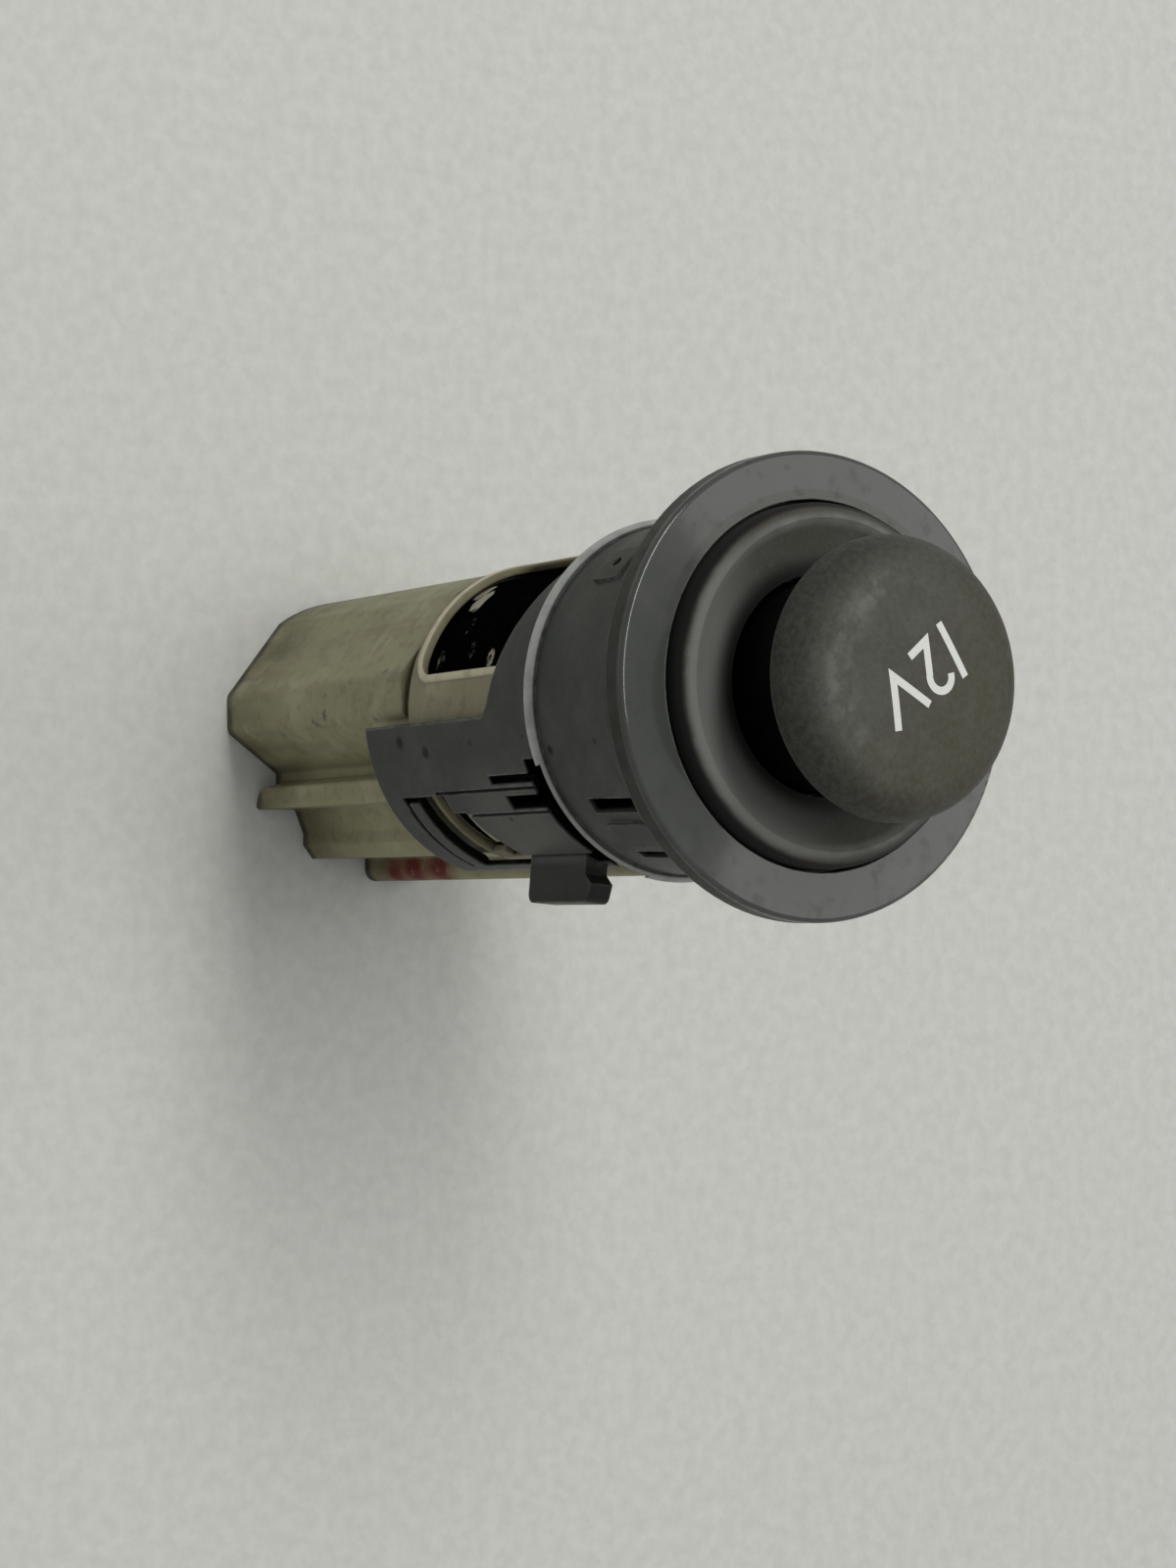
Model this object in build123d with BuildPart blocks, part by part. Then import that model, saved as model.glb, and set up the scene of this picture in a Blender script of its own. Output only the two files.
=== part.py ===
"""Car 12 V power socket with its blanking plug, standing on its connector tail.

Millimetres. The origin is on the barrel axis in the plane of the tail rim, +Z runs up to the knob.
Azimuths are degrees counter-clockwise from +X seen from above, the front of the socket is near -90.
"""
import math
import os

from build123d import *

os.makedirs("parts", exist_ok=True)

# Heights above the tail rim
bezel_face_z = 78.0
collar_low_z = 69.6
band_low_z = 58.1
sleeve_edge_z = 58.0
apron_low_z = 30.0
liner_step_z = 36.3
barrel_low_z = 35.7
bore_floor_z = 34.0
cavity_roof_z = 28.0

# Socket bore, liner and barrel
bore_radius = 10.5
liner_wall = 1.8
liner_gap = 0.3
liner_foot_step = 0.4
liner_foot_gap = 0.1
barrel_wall = 0.6
liner_radius = bore_radius + liner_wall
liner_foot_radius = liner_radius - liner_foot_step
barrel_seat_radius = liner_foot_radius + liner_foot_gap
barrel_inner_radius = liner_radius + liner_gap
barrel_radius = barrel_inner_radius + barrel_wall
part_clearance = 0.3
seat_gap = 0.2

# Trim sleeve: bezel, panel-hole band with a ridge along its foot, aprons
bezel_radius = 18.5
bezel_thickness = 2.4
bezel_slope = 0.25
bezel_edge_round = 0.4
bezel_under_round = 0.3
dish_recess_radius = 14.6
sleeve_wall = 0.9
band_step = 0.4
band_draft = 0.3
collar_step = 0.15
ridge_height = 0.85
ridge_proud = 0.3
ridge_bulge = 0.15
lip_radius = 12.0
lip_thickness = 1.0
sleeve_inner_radius = barrel_radius + part_clearance
sleeve_radius = sleeve_inner_radius + sleeve_wall
band_radius = sleeve_radius + band_step
collar_radius = band_radius + collar_step
seat_z = bezel_face_z - bezel_thickness
barrel_top_z = seat_z - lip_thickness

# Lower edge of the sleeve between the aprons
apron_left_azimuth = -85.5
apron_right_azimuth = -17.0
edge_turn_azimuth = -152.0
edge_mid_azimuth = -115.0
edge_mid_drop = 4.4
apron_shoulder_drop = 7.3
apron_corner_round = 1.6

# Latch cut into each apron
latch_azimuth = -40.5
latch_top_z = 58.7
latch_slot_height = 3.5
latch_slot_left = -7.1
slit_left = -6.0
slit_right = -5.2
slit_depth = 6.4
notch_left = -4.2
notch_right = -2.8
notch_depth = 5.1
latch_window_half = 4.6
latch_window_low_z = 33.0
latch_bar_height = 1.7
latch_bar_slit = 0.6
latch_strip_low_z = 40.2
tongue_low_left_z = 42.2
tongue_low_right_z = 44.6
tongue_right = 2.9
groove_azimuths = (-60.0, -50.3)
groove_low_z = 39.0
groove_width = 0.3
groove_depth = 0.25

# Snap lug on each latch tongue
lug_azimuth = -6.0
lug_foot_azimuth = -27.5
lug_reach = 4.3
rear_lug_reach = 3.0
lug_thickness = 2.2
lug_low_z = 44.9
lug_height = 9.2
lug_round = 0.8
lug_hook = 0.5
lug_hook_back = 1.6
lug_hook_foot_back = 2.4

# Spring tabs and the plain pad in the band
tab_azimuth = -40.0
tab_half_width = 2.4
tab_left_slot = 1.4
tab_right_slot = 1.0
tab_top_slot = 1.2
tab_low_z = 62.6
tab_height = 7.0
tab_pad_angle = 11.0
tab_pad_height = 5.4
tab_pad_proud = 0.2
pad_azimuth = -134.5
pad_z = 65.4
pad_angle = 14.0
pad_height = 3.6
pad_proud = 0.12
pad_dimple_radius = 0.5

# Side windows of the barrel
window_azimuth = -138.0
window_half_angle = 34.0
rear_window_azimuth = 60.0
rear_window_half_angle = 20.0
window_low_z = 37.1
window_high_z = 57.0
window_corner = 1.6
window_lip_width = 0.7
window_lip_proud = 0.15
window_lip_round = 0.2

# Openings in the barrel behind each latch and spring tab
relief_left = -7.3
relief_right = 6.5
relief_low_z = 47.5
relief_high_z = 71.5
relief_side_left = 2.2
relief_side_right = 4.8
relief_side_low_z = 38.5
foot_slot_angle = 34.0
foot_slot_low_z = 36.4
foot_slot_height = 3.2

# Connector tail
tail_radius = 13.0
tail_top_z = 34.6
shoulder_radius = 12.5
facet_azimuth = -145.0
lobe_left_x = -3.5
lobe_right_x = 0.0
lobe_front_y = -13.15
lobe_round = 1.0
valley_left_x = 3.9
valley_right_x = 4.7
valley_y = -8.0
rib_left_x = 5.4
rib_right_x = 7.4
rib_front_y = -10.1
rib_root_y = -6.0
rib_nose_width = 1.6
rib_nose_height = 2.2
rib_nose_share = 0.3
step_left_x = 9.8
step_right_x = 10.9
step_y = -5.1
flank_x = 12.2
flank_front_y = -4.1
shroud_round = 0.35
key_reach = 14.45
key_root_x = 10.5
key_front_y = 1.7
key_width = 6.4
key_top_z = 50.0
key_round = 1.2
cavity_length = 15.0
cavity_width = 13.4
cavity_centre_x = -1.8
cavity_centre_y = 0.9
cavity_corner = 1.6
keyway_x = -1.9
keyway_width = 2.4
keyway_front_y = -11.4

# Plug
core_radius = bore_radius - part_clearance
core_low_z = 38.6
core_wall = 1.6
core_foot_round = 0.6
neck_radius = 8.4
dish_radius = dish_recess_radius - part_clearance
dish_rim_rise = 1.8
dish_rim_round = 1.3
dish_floor_rise = 0.3
dish_hollow = 0.35
knob_radius = 10.95
knob_low_rise = 6.8
knob_under_round = 2.4
knob_over_round = 2.8
knob_crown = 0.5
spigot_radius = 4.5
spigot_height = 3.0
spigot_gap = 0.1

# Contacts
contact_azimuth = -88.0
strap_thickness = 0.6
arm_width = 4.4
arm_gap = 0.25
arm_height = 26.0
tab_blade_width = 6.3
tab_blade_thickness = 0.8
blade_low_z = 9.0
ground_blade_offset = -5.6
positive_blade_offset = 4.0
blade_gap = 0.15
blade_chamfer = 0.2
strap_ring_width = 3.0
strap_hole_radius = 4.4
button_radius = 3.2
button_height = 2.0
button_dome = 0.6
shank_radius = 1.5
shank_gap = 0.2
clinch_radius = 2.6
clinch_height = 0.9

# How far cuts run past the faces that they open, and how near a point is to count as on a face
cut_margin = 1.0
near = 0.05
cut_reach = bezel_radius + cut_margin


def radial_plane(azimuth, reach=0.0):
    """Plane facing outward at an azimuth: its x runs round the barrel, its y runs up."""
    angle = math.radians(azimuth)
    outward = Vector(math.cos(angle), math.sin(angle), 0)
    sideways = Vector(-math.sin(angle), math.cos(angle), 0)
    return Plane(origin=outward * reach, x_dir=sideways, z_dir=outward)


def axial_plane(azimuth):
    """Plane that holds the axis: its x runs outward at an azimuth, its y runs up."""
    facing = radial_plane(azimuth)
    return Plane(origin=(0, 0, 0), x_dir=facing.z_dir, z_dir=-facing.x_dir)


def both_sides(azimuth, reach=0.0):
    """Radial planes at an azimuth and opposite to it."""
    return [radial_plane(azimuth, reach), radial_plane(azimuth + 180, reach)]


def across(radius, degrees):
    """Sideways distance on a radial plane of a point on the radius turned by an angle."""
    return radius * math.sin(math.radians(degrees))


def dome(radius, rise, level):
    """Centre, radius, start and sweep of the arc from a rim on a level up to a crown on the axis."""
    sphere = (radius ** 2 + rise ** 2) / (2 * rise)
    centre_z = level + rise - sphere
    start = math.degrees(math.atan2(level - centre_z, radius))
    return (0, centre_z), sphere, start, 90 - start


# Trim sleeve, one moulding turned about the axis and then cut
gap_span = 180.0 - (apron_right_azimuth - apron_left_azimuth)
gap_azimuth = apron_left_azimuth - gap_span / 2
gap_half = across(sleeve_radius, gap_span / 2)
edge_turn = across(sleeve_radius, edge_turn_azimuth - gap_azimuth)
edge_mid = across(sleeve_radius, edge_mid_azimuth - gap_azimuth)
gap_foot_z = apron_low_z - cut_margin

with BuildPart() as trim_sleeve:
    with BuildSketch(Plane.XZ) as sleeve_profile:
        with BuildLine():
            upper = Polyline(
                (sleeve_radius, apron_low_z),
                (sleeve_inner_radius, apron_low_z),
                (sleeve_inner_radius, barrel_top_z),
                (lip_radius, barrel_top_z),
                (lip_radius, seat_z),
                (dish_recess_radius, seat_z),
                (dish_recess_radius, bezel_face_z),
                (bezel_radius, bezel_face_z - bezel_slope),
                (bezel_radius, seat_z),
                (collar_radius, seat_z),
                (collar_radius, collar_low_z),
                (band_radius, collar_low_z - collar_step),
                (band_radius - band_draft, band_low_z + ridge_height),
            )
            ridge = ThreePointArc(
                upper @ 1,
                (band_radius + ridge_bulge, band_low_z + ridge_height - ridge_bulge),
                (band_radius + ridge_proud, band_low_z),
            )
            Polyline(ridge @ 1, (sleeve_radius, band_low_z), upper @ 0)
        make_face()
        rim_corners = sleeve_profile.vertices().filter_by(lambda v: v.X > bezel_radius - near).sort_by(Axis.Y)
        fillet(rim_corners[-1], bezel_edge_round)
        fillet(rim_corners[0], bezel_under_round)
    revolve(axis=Axis.Z)

    # Clear spaces between the two aprons
    with BuildSketch(*both_sides(gap_azimuth)) as gap_face:
        with BuildLine():
            level = Polyline(
                (gap_half, sleeve_edge_z - apron_shoulder_drop),
                (gap_half, gap_foot_z),
                (-gap_half, gap_foot_z),
                (-gap_half, sleeve_edge_z),
                (edge_turn, sleeve_edge_z),
            )
            ThreePointArc(level @ 1, (edge_mid, sleeve_edge_z - edge_mid_drop), level @ 0)
        make_face()
        apron_corners = gap_face.vertices().filter_by(lambda v: v.X > gap_half - near).sort_by(Axis.Y)
        fillet(apron_corners[-1], apron_corner_round)
    extrude(amount=cut_reach, mode=Mode.SUBTRACT)

    # Slot over each latch, the slit and the notch that open into it
    slot_right = across(sleeve_radius, apron_right_azimuth - latch_azimuth) + cut_margin
    with BuildSketch(*both_sides(latch_azimuth)):
        with Locations((latch_slot_left, latch_top_z)):
            Rectangle(slot_right - latch_slot_left, latch_slot_height, align=(Align.MIN, Align.MAX))
        with Locations((slit_left, latch_top_z)):
            Rectangle(slit_right - slit_left, latch_slot_height + slit_depth, align=(Align.MIN, Align.MAX))
        with Locations((notch_left, latch_top_z)):
            Rectangle(notch_right - notch_left, latch_slot_height + notch_depth, align=(Align.MIN, Align.MAX))
    extrude(amount=cut_reach, mode=Mode.SUBTRACT)

    # Grooves down both edges of the strip beside each tongue
    groove_floor = sleeve_radius - groove_depth
    for azimuth in groove_azimuths:
        with BuildSketch(*both_sides(azimuth, groove_floor)):
            with Locations((0, groove_low_z)):
                Rectangle(
                    groove_width,
                    latch_top_z - latch_slot_height - groove_low_z,
                    align=(Align.CENTER, Align.MIN),
                )
        extrude(amount=cut_margin, mode=Mode.SUBTRACT)

    # Window under each tongue, with the thin bar left standing along its foot
    bar_low_z = latch_window_low_z + latch_bar_slit
    bar_high_z = bar_low_z + latch_bar_height
    bar_left = latch_bar_slit - latch_window_half
    slot_mid_z = latch_top_z - latch_slot_height / 2
    with BuildSketch(*both_sides(latch_azimuth)):
        with BuildLine():
            Polyline(
                (-latch_window_half, latch_window_low_z),
                (latch_window_half, latch_window_low_z),
                (latch_window_half, bar_low_z),
                (bar_left, bar_low_z),
                (bar_left, bar_high_z),
                (latch_window_half, bar_high_z),
                (latch_window_half, slot_mid_z),
                (tongue_right, slot_mid_z),
                (tongue_right, tongue_low_right_z),
                (notch_right, tongue_low_left_z),
                (notch_right, latch_strip_low_z),
                (-latch_window_half, latch_strip_low_z),
                close=True,
            )
        make_face()
    extrude(amount=cut_reach, mode=Mode.SUBTRACT)

    # Snap lug standing on the free end of each tongue
    lug_foot_radius = sleeve_radius - sleeve_wall / 2
    for turn, reach in ((0, lug_reach), (180, rear_lug_reach)):
        lug_side = radial_plane(lug_azimuth + turn)
        lug_foot = radial_plane(lug_foot_azimuth + turn, lug_foot_radius).origin + Vector(0, 0, lug_low_z)
        lug_plane = Plane(origin=lug_foot, x_dir=lug_side.z_dir, z_dir=-lug_side.x_dir)
        with BuildSketch(lug_plane) as lug_face:
            with BuildLine():
                Polyline(
                    (0, 0),
                    (reach, 0),
                    (reach, lug_height),
                    (reach - lug_hook_back, lug_height + lug_hook),
                    (reach - lug_hook_foot_back, lug_height - lug_hook),
                    (0, lug_height - lug_hook),
                    close=True,
                )
            make_face()
            fillet(lug_face.vertices().filter_by(lambda v: v.X > reach - near), lug_round)
        extrude(amount=-lug_thickness)

    # Spring tabs freed by a slot on three sides, each with a raised pad
    tab_slot_width = 2 * tab_half_width + tab_left_slot + tab_right_slot
    with BuildSketch(*both_sides(tab_azimuth)):
        with Locations((-tab_half_width - tab_left_slot, tab_low_z)):
            Rectangle(tab_slot_width, tab_height + tab_top_slot, align=(Align.MIN, Align.MIN))
        with Locations((0, tab_low_z)):
            Rectangle(2 * tab_half_width, tab_height, align=(Align.CENTER, Align.MIN), mode=Mode.SUBTRACT)
    extrude(amount=cut_reach, mode=Mode.SUBTRACT)
    pad_root = sleeve_radius - sleeve_wall / 2
    tab_start = tab_azimuth - tab_pad_angle / 2
    with BuildSketch(axial_plane(tab_start), axial_plane(tab_start + 180)):
        with Locations((pad_root, tab_low_z + tab_height / 2)):
            Rectangle(band_radius + tab_pad_proud - pad_root, tab_pad_height, align=(Align.MIN, Align.CENTER))
    revolve(axis=Axis.Z, revolution_arc=tab_pad_angle)

    # Plain pad with a dimple on the other side of the band
    with BuildSketch(axial_plane(pad_azimuth - pad_angle / 2)):
        with Locations((pad_root, pad_z)):
            Rectangle(band_radius + pad_proud - pad_root, pad_height, align=(Align.MIN, Align.CENTER))
    revolve(axis=Axis.Z, revolution_arc=pad_angle)
    with BuildSketch(radial_plane(pad_azimuth)):
        with Locations((0, pad_z)):
            Circle(pad_dimple_radius)
    extrude(amount=cut_reach, mode=Mode.SUBTRACT)
trim_sleeve.part.label = "trim_sleeve"
export_step(trim_sleeve.part, "parts/trim_sleeve.step")

# Socket housing, one moulding: barrel, floor and keyed connector shroud
contact_plane = Plane(origin=(0, 0, 0), x_dir=radial_plane(contact_azimuth).z_dir, z_dir=(0, 0, 1))
side_windows = ((window_azimuth, window_half_angle), (rear_window_azimuth, rear_window_half_angle))


def on_window_lip(edge, azimuth, half_angle):
    """True for an edge of a side window where it meets the outside of the barrel."""
    middle = edge @ 0.5
    turned = (math.degrees(math.atan2(middle.Y, middle.X)) - azimuth + 180) % 360 - 180
    outside = abs(math.hypot(middle.X, middle.Y) - barrel_radius - window_lip_proud) < near
    between = window_low_z - near < middle.Z < window_high_z + near
    return outside and between and abs(turned) < half_angle + near


with BuildPart() as socket_housing:
    with BuildSketch(Plane.XY.offset(barrel_low_z)):
        Circle(barrel_radius)
        Circle(barrel_inner_radius, mode=Mode.SUBTRACT)
    extrude(amount=barrel_top_z - barrel_low_z)
    for azimuth, half_angle in side_windows:
        window_width = 2 * across(barrel_radius, half_angle)
        window_height = window_high_z - window_low_z
        with BuildPart(mode=Mode.PRIVATE) as lip:
            with BuildSketch(Plane.XY.offset(barrel_low_z)):
                Circle(barrel_radius + window_lip_proud)
                Circle(barrel_inner_radius, mode=Mode.SUBTRACT)
            extrude(amount=barrel_top_z - barrel_low_z)
            with BuildSketch(radial_plane(azimuth)):
                with Locations((0, window_low_z - window_lip_width)):
                    RectangleRounded(
                        window_width + 2 * window_lip_width,
                        window_height + 2 * window_lip_width,
                        window_corner + window_lip_width,
                        align=(Align.CENTER, Align.MIN),
                    )
            extrude(amount=cut_reach, mode=Mode.INTERSECT)
        add(lip.part)
        with BuildSketch(radial_plane(azimuth)):
            with Locations((0, window_low_z)):
                RectangleRounded(window_width, window_height, window_corner, align=(Align.CENTER, Align.MIN))
        extrude(amount=cut_reach, mode=Mode.SUBTRACT)
        lip_edges = socket_housing.edges().filter_by(lambda edge: on_window_lip(edge, azimuth, half_angle))
        fillet(lip_edges, window_lip_round)

    # Floor, shoulder and the outline of the shroud
    with BuildSketch(Plane.XY.offset(cavity_roof_z)):
        Circle(shoulder_radius)
    extrude(amount=barrel_low_z - cavity_roof_z)
    with BuildSketch(Plane.XY.offset(barrel_low_z)):
        Circle(barrel_radius)
    extrude(amount=liner_step_z - barrel_low_z)
    with BuildSketch() as shroud:
        with BuildLine():
            facet = math.radians(facet_azimuth)
            front = Polyline(
                (tail_radius * math.cos(facet), tail_radius * math.sin(facet)),
                (lobe_left_x, lobe_front_y),
                (lobe_right_x, lobe_front_y),
                (valley_left_x, valley_y),
                (valley_right_x, valley_y),
                (rib_left_x, rib_front_y),
                (rib_right_x, rib_front_y),
                (rib_right_x, rib_root_y),
                (step_left_x, step_y),
                (step_right_x, step_y),
                (flank_x, flank_front_y),
                (flank_x, math.sqrt(tail_radius ** 2 - flank_x ** 2)),
            )
            ThreePointArc(front @ 1, (0, tail_radius), front @ 0)
        make_face()
        fillet(shroud.vertices().filter_by(lambda v: v.Y < lobe_front_y + near), lobe_round)
        rib_corners = shroud.vertices().filter_by(
            lambda v: v.X > valley_left_x - near and v.Y < valley_y + near
        )
        fillet(rib_corners, shroud_round)
    extrude(amount=tail_top_z)

    # Long key on the right flank, running from the rim up beside the barrel
    with BuildSketch() as key:
        with Locations((key_root_x, key_front_y)):
            Rectangle(key_reach - key_root_x, key_width, align=(Align.MIN, Align.MIN))
        fillet(key.vertices().filter_by(lambda v: v.X > key_reach - near), key_round)
    extrude(amount=key_top_z)

    # Rounded lower corner of the rib beside the key valley
    with BuildSketch(Plane.XZ.offset(-valley_y)):
        with BuildLine():
            nose = ThreePointArc(
                (rib_left_x, rib_nose_height),
                (rib_left_x + rib_nose_share * rib_nose_width, rib_nose_share * rib_nose_height),
                (rib_left_x + rib_nose_width, 0),
            )
            Polyline(
                nose @ 1,
                (rib_left_x + rib_nose_width, -cut_margin),
                (rib_left_x - cut_margin, -cut_margin),
                (rib_left_x - cut_margin, rib_nose_height),
                nose @ 0,
            )
        make_face()
    extrude(amount=valley_y - rib_front_y + cut_margin, mode=Mode.SUBTRACT)

    # Barrel cleared down to the seat of its liner
    with BuildSketch(Plane.XY.offset(liner_step_z)):
        Circle(barrel_inner_radius)
    extrude(amount=barrel_top_z - liner_step_z, mode=Mode.SUBTRACT)
    with BuildSketch(Plane.XY.offset(bore_floor_z)):
        Circle(barrel_seat_radius)
    extrude(amount=liner_step_z - bore_floor_z, mode=Mode.SUBTRACT)

    # Connector cavity with a keyway in the front lobe
    with BuildSketch():
        with Locations((cavity_centre_x, cavity_centre_y)):
            RectangleRounded(cavity_length, cavity_width, cavity_corner)
        with Locations((keyway_x, keyway_front_y)):
            Rectangle(keyway_width, cavity_centre_y - keyway_front_y, align=(Align.CENTER, Align.MIN))
    extrude(amount=cavity_roof_z, mode=Mode.SUBTRACT)

    # Openings behind each latch and spring tab, so that they can give
    with BuildSketch(*both_sides(latch_azimuth)):
        with Locations((relief_left, relief_low_z)):
            Rectangle(relief_right - relief_left, relief_high_z - relief_low_z, align=(Align.MIN, Align.MIN))
        with Locations((relief_side_left, relief_side_low_z)):
            Rectangle(
                relief_side_right - relief_side_left,
                relief_low_z - relief_side_low_z + cut_margin,
                align=(Align.MIN, Align.MIN),
            )
    extrude(amount=cut_reach, mode=Mode.SUBTRACT)
    foot_slot_start = latch_azimuth - foot_slot_angle / 2
    with BuildSketch(axial_plane(foot_slot_start), axial_plane(foot_slot_start + 180)):
        with Locations((liner_radius, foot_slot_low_z)):
            Rectangle(sleeve_inner_radius - liner_radius, foot_slot_height, align=(Align.MIN, Align.MIN))
    revolve(axis=Axis.Z, revolution_arc=foot_slot_angle, mode=Mode.SUBTRACT)

    # Slot for the ground tab and hole for the rivet
    with BuildSketch(contact_plane.offset(cavity_roof_z)):
        with Locations((ground_blade_offset, 0)):
            Rectangle(tab_blade_thickness + 2 * blade_gap, tab_blade_width + 2 * blade_gap)
        Circle(shank_radius + shank_gap)
    extrude(amount=bore_floor_z - cavity_roof_z, mode=Mode.SUBTRACT)
socket_housing.part.label = "socket_housing"
export_step(socket_housing.part, "parts/socket_housing.step")

# Socket liner, the black tube that forms the bore, slotted for the contact arms
with BuildPart() as socket_liner:
    with BuildSketch(Plane.XY.offset(bore_floor_z)):
        Circle(liner_foot_radius)
    extrude(amount=liner_step_z - bore_floor_z)
    with BuildSketch(Plane.XY.offset(liner_step_z)):
        Circle(liner_radius)
    extrude(amount=barrel_top_z - liner_step_z)
    with BuildSketch(Plane.XY.offset(bore_floor_z)):
        Circle(bore_radius)
    extrude(amount=barrel_top_z - bore_floor_z, mode=Mode.SUBTRACT)
    with BuildSketch(contact_plane.offset(bore_floor_z)):
        Rectangle(2 * barrel_radius, arm_width + 2 * part_clearance)
    extrude(amount=arm_height + part_clearance, mode=Mode.SUBTRACT)
socket_liner.part.label = "socket_liner"
export_step(socket_liner.part, "parts/socket_liner.step")

# Ground contact, one bent strip: strap on the bore floor, two arms, one connector tab
arm_outer = math.sqrt(bore_radius ** 2 - (arm_width / 2) ** 2) + strap_thickness + arm_gap
with BuildPart() as ground_contact:
    with BuildSketch(contact_plane.offset(bore_floor_z)):
        Rectangle(2 * arm_outer, arm_width)
        Circle(strap_hole_radius + strap_ring_width)
        Circle(strap_hole_radius, mode=Mode.SUBTRACT)
    extrude(amount=strap_thickness)
    with BuildSketch(contact_plane.offset(bore_floor_z)):
        with Locations((arm_outer, 0)):
            Rectangle(strap_thickness, arm_width, align=(Align.MAX, Align.CENTER))
        with Locations((-arm_outer, 0)):
            Rectangle(strap_thickness, arm_width, align=(Align.MIN, Align.CENTER))
    extrude(amount=arm_height)
    with BuildSketch(contact_plane.offset(blade_low_z)):
        with Locations((ground_blade_offset, 0)):
            Rectangle(tab_blade_thickness, tab_blade_width)
    extrude(amount=bore_floor_z + strap_thickness - blade_low_z)
    chamfer(ground_contact.faces().sort_by(Axis.Z)[0].edges(), blade_chamfer)
ground_contact.part.label = "ground_contact"
export_step(ground_contact.part, "parts/ground_contact.step")

# Positive tab, bent under the bore floor
foot_low_z = cavity_roof_z - tab_blade_thickness
foot_end = positive_blade_offset + tab_blade_thickness / 2
with BuildPart() as positive_tab:
    with BuildSketch(contact_plane.offset(foot_low_z)):
        with Locations((foot_end, 0)):
            Rectangle(
                foot_end + clinch_radius + part_clearance,
                tab_blade_width,
                align=(Align.MAX, Align.CENTER),
            )
        Circle(shank_radius + shank_gap, mode=Mode.SUBTRACT)
    extrude(amount=tab_blade_thickness)
    with BuildSketch(contact_plane.offset(blade_low_z)):
        with Locations((positive_blade_offset, 0)):
            Rectangle(tab_blade_thickness, tab_blade_width)
    extrude(amount=cavity_roof_z - blade_low_z)
    chamfer(positive_tab.faces().sort_by(Axis.Z)[0].edges(), blade_chamfer)
positive_tab.part.label = "positive_tab"
export_step(positive_tab.part, "parts/positive_tab.step")

# Centre contact, a brass button riveted through the floor and the positive tab
with BuildPart() as centre_contact:
    with BuildSketch(Plane.XZ):
        with BuildLine():
            head = Polyline(
                (0, foot_low_z - clinch_height),
                (clinch_radius, foot_low_z - clinch_height),
                (clinch_radius, foot_low_z),
                (shank_radius, foot_low_z),
                (shank_radius, bore_floor_z),
                (button_radius, bore_floor_z),
                (button_radius, bore_floor_z + button_height),
            )
            crown = CenterArc(*dome(button_radius, button_dome, bore_floor_z + button_height))
            Line(crown @ 1, head @ 0)
        make_face()
    revolve(axis=Axis.Z)
centre_contact.part.label = "centre_contact"
export_step(centre_contact.part, "parts/centre_contact.step")

# Plug core, a black moulding: hollow stem in the bore, neck and the spigot that carries the knob
dish_low_z = seat_z + seat_gap
knob_low_z = bezel_face_z + knob_low_rise
with BuildPart() as plug_core:
    with BuildSketch(Plane.XZ) as core_profile:
        with BuildLine():
            Polyline(
                (core_radius - core_wall, core_low_z),
                (core_radius, core_low_z),
                (core_radius, dish_low_z),
                (neck_radius, dish_low_z),
                (neck_radius, knob_low_z),
                (spigot_radius, knob_low_z),
                (spigot_radius, knob_low_z + spigot_height),
                (0, knob_low_z + spigot_height),
                (0, barrel_top_z),
                (core_radius - core_wall, barrel_top_z),
                close=True,
            )
        make_face()
        fillet(core_profile.vertices().filter_by(lambda v: v.Y < core_low_z + near), core_foot_round)
    revolve(axis=Axis.Z)
plug_core.part.label = "plug_core"
export_step(plug_core.part, "parts/plug_core.step")

# Plug dish, the ring with a raised round rim that covers the bezel recess
with BuildPart() as plug_dish:
    with BuildSketch(Plane.XZ):
        with BuildLine():
            crest_radius = dish_radius - dish_rim_round
            crest_z = bezel_face_z + dish_rim_rise
            side_z = crest_z - dish_rim_round
            floor_z = bezel_face_z + dish_floor_rise
            hole_radius = neck_radius + part_clearance
            side = Polyline(
                (hole_radius, floor_z),
                (hole_radius, dish_low_z),
                (dish_radius, dish_low_z),
                (dish_radius, side_z),
            )
            rim = CenterArc((crest_radius, side_z), dish_rim_round, 0, 90)
            ThreePointArc(
                rim @ 1,
                ((crest_radius + hole_radius) / 2, (crest_z + floor_z) / 2 - dish_hollow),
                side @ 0,
            )
        make_face()
    revolve(axis=Axis.Z)
plug_dish.part.label = "plug_dish"
export_step(plug_dish.part, "parts/plug_dish.step")

# Plug knob, a mushroom grip pressed on the spigot
knob_mid_z = knob_low_z + knob_under_round
knob_under_flat = knob_radius - knob_under_round
knob_over_flat = knob_radius - knob_over_round
spigot_top_z = knob_low_z + spigot_height + spigot_gap
with BuildPart() as plug_knob:
    with BuildSketch(Plane.XZ):
        with BuildLine():
            under = Polyline(
                (0, spigot_top_z),
                (spigot_radius + spigot_gap, spigot_top_z),
                (spigot_radius + spigot_gap, knob_low_z),
                (knob_under_flat, knob_low_z),
            )
            CenterArc((knob_under_flat, knob_mid_z), knob_under_round, -90, 90)
            CenterArc((knob_over_flat, knob_mid_z), knob_over_round, 0, 90)
            crown = CenterArc(*dome(knob_over_flat, knob_crown, knob_mid_z + knob_over_round))
            Line(crown @ 1, under @ 0)
        make_face()
    revolve(axis=Axis.Z)
plug_knob.part.label = "plug_knob"
export_step(plug_knob.part, "parts/plug_knob.step")
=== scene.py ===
import bpy
import numpy as np
from mathutils import Matrix, Vector


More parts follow.
